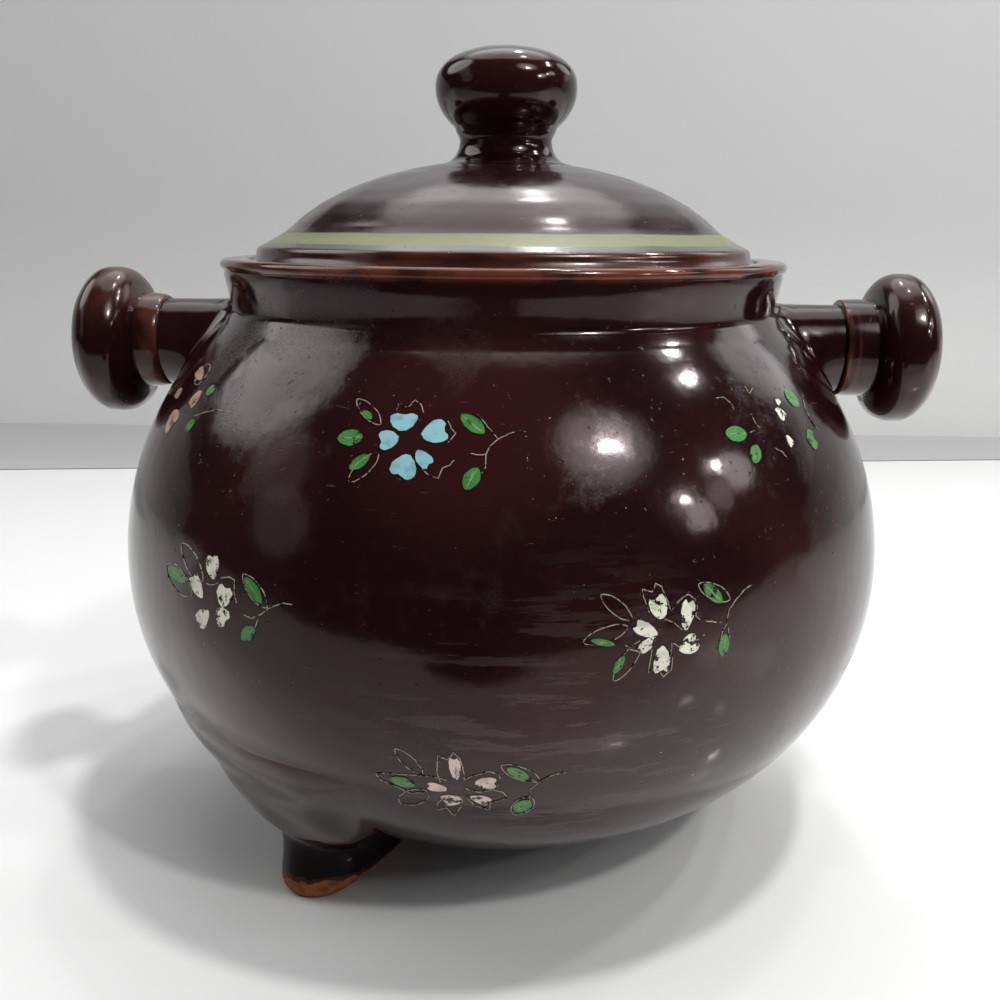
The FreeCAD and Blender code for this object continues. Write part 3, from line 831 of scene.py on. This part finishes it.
other_sprigs = [("white_right", 10.0, 64.0), ("pink_bottom", 34.0, 100.0), ("blue", 62.0, 60.0),
                ("white_left", 92.0, 100.0), ("pink_bottom", 134.0, 66.0), ("blue", 172.0, 52.0)]


def heading(around, climb):
    """The unit vector in a direction, whose two angles are in radians."""
    return Vector((math.cos(around) * math.cos(climb), math.sin(around) * math.cos(climb), math.sin(climb)))


def belly_frame(azimuth, height):
    """Matrix from a flat drawing on to the belly: across, up along the wall, outwards."""
    middle = shoulder_centre if height > belly_height else base_radius
    bend = shoulder_arc if height > belly_height else base_arc
    climb = math.asin((height - belly_height) / bend)
    around = math.radians(azimuth)
    reach = middle + bend * math.cos(climb)
    across = Vector((-math.sin(around), math.cos(around), 0))
    outward = heading(around, climb)
    upward = outward.cross(across)
    columns = Matrix((across, upward, outward)).transposed().to_4x4()
    spot = Vector((reach * math.cos(around), reach * math.sin(around), height))
    return Matrix.Translation(spot) @ columns


petal_notch, notch_width, petal_swell, leaf_taper = 0.38, 0.34, 0.28, 1.35


def dab(kind, base, tip, width, filled, place):
    """One petal, leaf or loop, shaped from a flat circle between its base and its tip."""
    deselect_all()
    fill = "NGON" if filled else "NOTHING"
    bpy.ops.mesh.primitive_circle_add(vertices=outline_points, radius=1, fill_type=fill)
    piece = bpy.context.object
    run = Vector((tip[0] - base[0], tip[1] - base[1], 0))
    wobble = [random.uniform(0.93, 1.05) for k in range(outline_points)]
    for vertex, share in zip(piece.data.vertices, wobble):
        angle = math.atan2(vertex.co.y, vertex.co.x)
        side = math.sin(angle)
        if kind == "petal":
            notch = petal_notch * math.exp(-(angle / notch_width)**2)
            along = math.cos(angle) * share - notch
            across = side * (1 + petal_swell * math.cos(angle)) * share
        else:
            along, across = math.cos(angle), math.copysign(abs(side)**leaf_taper, side) * share
        vertex.co = Vector(((1 + along) * run.length / 2, across * width / 2, 0))
    flat = Matrix.Translation((base[0], base[1], 0)) @ Matrix.Rotation(math.atan2(run.y, run.x), 4, "Z")
    piece.data.transform(place @ flat)
    return piece


def stroke(points, place):
    """A brush stroke as an open chain of vertices, with a shaky hand between its points."""
    shake = 0.07
    chain = []
    for start, end in zip(points, points[1:]):
        for share in (0, 0.34, 0.67):
            x, y = (start[k] + (end[k] - start[k]) * share + random.uniform(-shake, shake) for k in (0, 1))
            chain.append((x, y, 0))
    chain.append((points[-1][0], points[-1][1], 0))
    mesh = bpy.data.meshes.new("stroke")
    mesh.from_pydata(chain, [(k, k + 1) for k in range(len(chain) - 1)], [])
    mesh.transform(place)
    piece = bpy.data.objects.new("stroke", mesh)
    bpy.context.collection.objects.link(piece)
    return piece


dabs = {"blue": [], "white": [], "pink": [], "peach": [], "leaf": [], "gilt": []}
for name, azimuth, height in front_sprigs + other_sprigs:
    place = belly_frame(azimuth, height * mm) @ Matrix.Scale(mm, 4)
    drawing = sprigs[name]
    for base, tip, width in drawing["petals"]:
        dabs[enamels[name]].append(dab("petal", base, tip, width, True, place))
    for base, tip, width in drawing["leaves"]:
        dabs["leaf"].append(dab("leaf", base, tip, width, True, place))
        vein = [tuple(b + (t - b) * share for b, t in zip(base, tip)) for share in (0.08, 0.5, 0.88)]
        dabs["gilt"].append(stroke(vein, place))
    for base, tip, width in drawing["loops"]:
        dabs["gilt"].append(dab("loop", base, tip, width, False, place))
    for points in drawing["strokes"]:
        dabs["gilt"].append(stroke(points, place))


def enamel(name, colour, roughness, chip_level, chip_size):
    """Flat enamel, rubbed through to the dark glaze where the noise passes the level."""
    paint = Glaze(name)
    paint.colour = colour
    paint.rough = roughness
    paint.paint(paint.ramp(paint.noise(2.2 * mm, 4), 0.4, 0.75, 0, 0.75), tuple(c * 0.50 for c in colour))
    chips = paint.ramp(paint.noise(chip_size, 5, 0.7), chip_level, chip_level + 0.03)
    paint.paint(chips, oxblood_dark)
    paint.roughen(chips, 0.25)
    paint.raise_by(paint.noise(0.8 * mm, 2), 0.03 * mm)
    return paint.finish()


enamel_thickness = 0.14 * mm
enamel_lift = 0.03 * mm
gilt_radius = 0.10 * mm
gilt_lift = 0.09 * mm


def gather(kind, material):
    """Joins one colour's dabs, lays them on the belly and gives them their thickness."""
    deselect_all()
    for piece in dabs[kind]:
        piece.select_set(True)
    bpy.context.view_layer.objects.active = dabs[kind][0]
    bpy.ops.object.join()
    joined = bpy.context.object
    joined.name = "enamel_" + kind
    wrap = joined.modifiers.new("laid_on", "SHRINKWRAP")
    wrap.target = pot_body
    wrap.wrap_mode = "ABOVE_SURFACE"
    wrap.offset = gilt_lift if kind == "gilt" else enamel_lift
    apply_modifiers(joined)
    if kind == "gilt":
        bpy.ops.object.convert(target="CURVE")
        joined = bpy.context.object
        joined.data.bevel_depth = gilt_radius
        joined.data.bevel_resolution = 1
        joined.data.use_fill_caps = True
        bpy.ops.object.convert(target="MESH")
        joined = bpy.context.object
        bpy.ops.object.shade_smooth()
    else:
        thick = joined.modifiers.new("thickness", "SOLIDIFY")
        thick.thickness = enamel_thickness
        thick.offset = 1
        apply_modifiers(joined)
    joined.data.materials.clear()
    joined.data.materials.append(material)
    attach(joined, "pot")


# Of each: its dabs, its paint's name, colour and roughness, and its chips' level and size.
for kind, paint_name, colour, roughness, chip_level, chip_size in (
        ("blue", "enamel_light_blue", (0.255, 0.50, 0.55), 0.30, 0.68, 2.0),
        ("white", "enamel_cream", (0.74, 0.72, 0.60), 0.35, 0.54, 2.0),
        ("pink", "enamel_pink", (0.66, 0.52, 0.47), 0.35, 0.55, 2.0),
        ("peach", "enamel_peach", (0.46, 0.29, 0.22), 0.35, 0.57, 2.0),
        ("leaf", "enamel_green", (0.050, 0.215, 0.045), 0.30, 0.58, 3.0),
        ("gilt", "enamel_gilt", (0.34, 0.30, 0.22), 0.35, 0.52, 1.2)):
    gather(kind, enamel(paint_name, colour, roughness, chip_level, chip_size * mm))


# ---- Stage: table, wall, lamps and camera ----
# A pale table top with a pale wall behind it, small round lamps, and a floor that shows
# in the glaze alone, dark in front. The room's light zones are the world's.
def matte(name, colour, roughness):
    material = bpy.data.materials.new(name)
    material.use_nodes = True
    shader = material.node_tree.nodes["Principled BSDF"]
    shader.inputs["Base Color"].default_value = (*colour, 1)
    shader.inputs["Roughness"].default_value = roughness
    return material


def card(name, corners, material):
    """A flat card from its four corners, in metres."""
    mesh = bpy.data.meshes.new(name)
    mesh.from_pydata(corners, [], [(0, 1, 2, 3)])
    made = bpy.data.objects.new(name, mesh)
    bpy.context.collection.objects.link(made)
    made.data.materials.append(material)
    return made


far = 3.0
wall_place = 0.5
wall_top = 0.4
foot_level = 0.0004
gloss_level = 0.0005
room_dark = (0.012, 0.012, 0.014)
card("stage_table", [(-far, -far, 0), (far, -far, 0), (far, far, 0), (-far, far, 0)],
     matte("stage_table", (0.75, 0.75, 0.74), 0.45))
wall_paint = Glaze("stage_wall")
wall_paint.colour = (0.59, 0.59, 0.59)
# Painted light: the wall is painted paler towards its foot, which the lamps light less, so that it looks
# evenly lit.
wall_paint.paint(wall_paint.ramp(wall_paint.axis(2), 0.0, 0.17, 1.0, 0.0), (0.85, 0.85, 0.84))
wall_paint.link(wall_paint.colour, wall_paint.shader.inputs["Base Color"])
card("stage_wall", [(-far, wall_place, 0), (far, wall_place, 0), (far, wall_place, wall_top),
                    (-far, wall_place, wall_top)], wall_paint.material)
card("stage_wall_foot", [(-0.6, 0.316, foot_level), (0.6, 0.456, foot_level),
                         (0.6, wall_place, foot_level), (-0.6, wall_place, foot_level)],
     matte("stage_wall_foot", (0.42, 0.42, 0.42), 0.6))
mirrored = Glaze("stage_floor_in_gloss")
mirrored.colour = (0.82, 0.82, 0.81)
toward_front = mirrored.axis(1)
slant = mirrored.times(mirrored.axis(0), 0.25)
slanted = mirrored.plus(toward_front, slant)
mirrored.paint(mirrored.ramp(slanted, -0.17, -0.07, 1.0, 0.0), (0.47, 0.44, 0.43))
mirrored.paint(mirrored.ramp(mirrored.near((-14, -287, 0), 0.095), 0.2, 0.7), room_dark)
mirrored.paint(mirrored.ramp(toward_front, -0.345, -0.325, 1.0, 0.0), room_dark)
mirrored.link(mirrored.colour, mirrored.shader.inputs["Base Color"])
mirrored.shader.inputs["Coat Weight"].default_value = 0.6
mirrored.shader.inputs["Coat Roughness"].default_value = 0.06
floor_end = card("stage_floor_end", [(-far, -far, gloss_level), (far, -far, gloss_level),
                                     (far, 0, gloss_level), (-far, 0, gloss_level)], mirrored.material)
# It shows in the glaze and nowhere else: it neither lights nor hides anything.
floor_end.visible_camera = False
floor_end.visible_diffuse = False
floor_end.visible_transmission = False
floor_end.visible_shadow = False

belly_front = Vector((30, -70, 105)) * mm


def area_lamp(name, azimuth, elevation, distance, size, power):
    """A round lamp in a direction from the belly's front, hidden from the camera itself.

    Angles are in degrees, distance and size in metres, power in watts.
    """
    away = heading(math.radians(azimuth), math.radians(elevation))
    light = bpy.data.lights.new(name, "AREA")
    light.shape = "DISK"
    light.size = size
    light.energy = power
    lamp = bpy.data.objects.new(name, light)
    bpy.context.collection.objects.link(lamp)
    lamp.location = belly_front + away * distance
    lamp.rotation_euler = away.to_track_quat("Z", "Y").to_euler()
    lamp.visible_camera = False
    return lamp


area_lamp("lamp_overhead", -19, 77.2, 1.38, 0.12, 8.5).visible_glossy = False
area_lamp("lamp_front", -45.5, 47.5, 1.5, 0.10, 6)
area_lamp("lamp_spot_1", 12, 49, 1.6, 0.08, 3)
area_lamp("lamp_spot_2", 25, 53, 1.6, 0.07, 2)
area_lamp("lamp_spot_3", -12.4, 29, 0.75, 0.03, 0.3)
area_lamp("lamp_spot_4", -29.6, 24.4, 0.75, 0.04, 0.38)
area_lamp("lamp_spot_5", 50, 73, 1.6, 0.09, 2)
area_lamp("lamp_spot_6", 84, 56, 1.6, 0.08, 1.5)

# The room as the glaze sees it: dark all round, with a lit ceiling and some pale places.
world = bpy.data.worlds.new("room")
bpy.context.scene.world = world
world.use_nodes = True
room = world.node_tree.nodes
wires = world.node_tree.links
direction = room.new("ShaderNodeTexCoord").outputs["Generated"]
backdrop = room["Background"]


def toward(azimuth, elevation, low, high, level):
    """Light of a level from the part of the room round a direction, in degrees.

    It fades in from low to high, two cosines of the angle from that direction.
    """
    dot = node(room, "VectorMath", operation="DOT_PRODUCT")
    dot.inputs[1].default_value = heading(math.radians(azimuth), math.radians(elevation))
    wires.new(direction, dot.inputs[0])
    ramp = node(room, "MapRange", interpolation_type="SMOOTHSTEP", From_Min=low, From_Max=high,
                To_Max=level)
    wires.new(dot.outputs["Value"], ramp.inputs["Value"])
    return ramp.outputs["Result"]


zones = [
    toward(0, 90, -1.1, -1.0, 0.038),              # the dark room all round
    toward(-46, 48, 0.960, 0.998, 3.4),            # the glow round the front lamp
    toward(90, 68, 0.86, 0.92, 1.6),               # the ceiling
    toward(88, 42, 0.86, 0.95, 0.7),               # the wall behind
    toward(163, 40, 0.942, 0.960, 2.4),            # a window on the left
    toward(-176, 34, 0.980, 0.992, 0.35),          # pale things down the left side
    toward(-164, 28, 0.980, 0.992, 0.35),
    toward(-155, 15, 0.980, 0.992, 0.35),
    toward(40, 4, 0.90, 0.96, 0.9),                # a pale wall on the right
    toward(38, 31, 0.975, 0.992, 1.9),             # lit things on the right
    toward(-6.7, 25.4, 0.9935, 0.9985, 4.2),
    toward(-16.7, 22.3, 0.9965, 0.9990, 1.8),
    toward(-26.6, 19.6, 0.9960, 0.9990, 4.6),
]
lit = zones[0]
for zone in zones[1:]:
    add = node(room, "Math", operation="ADD")
    wires.new(lit, add.inputs[0])
    wires.new(zone, add.inputs[1])
    lit = add.outputs["Value"]
seen = room.new("ShaderNodeLightPath").outputs["Is Camera Ray"]
seen_strength = 0.62
strength = node(room, "Mix", data_type="FLOAT")
strength.inputs[second_number].default_value = seen_strength
wires.new(seen, strength.inputs[mix_factor])
wires.new(lit, strength.inputs[first_number])
wires.new(strength.outputs[mixed_number], backdrop.inputs["Strength"])
backdrop.inputs["Color"].default_value = (0.98, 0.99, 1.0, 1)

camera_data = bpy.data.cameras.new("camera")
camera_data.lens = 37.8
camera_data.sensor_width = 36
camera_data.shift_x = -0.0015
camera = bpy.data.objects.new("camera", camera_data)
bpy.context.collection.objects.link(camera)
forward = Vector((-0.0338, 0.9677, -0.2498))
aim = forward.to_track_quat("-Z", "Y").to_matrix()
roll = Matrix.Rotation(math.radians(0.45), 3, "Z")
camera_place = Matrix.Translation((8.974 * mm, -256.973 * mm, 142.92 * mm))
camera.matrix_world = camera_place @ (aim @ roll).to_4x4()
bpy.context.scene.camera = camera
bpy.context.scene.view_settings.view_transform = "Standard"
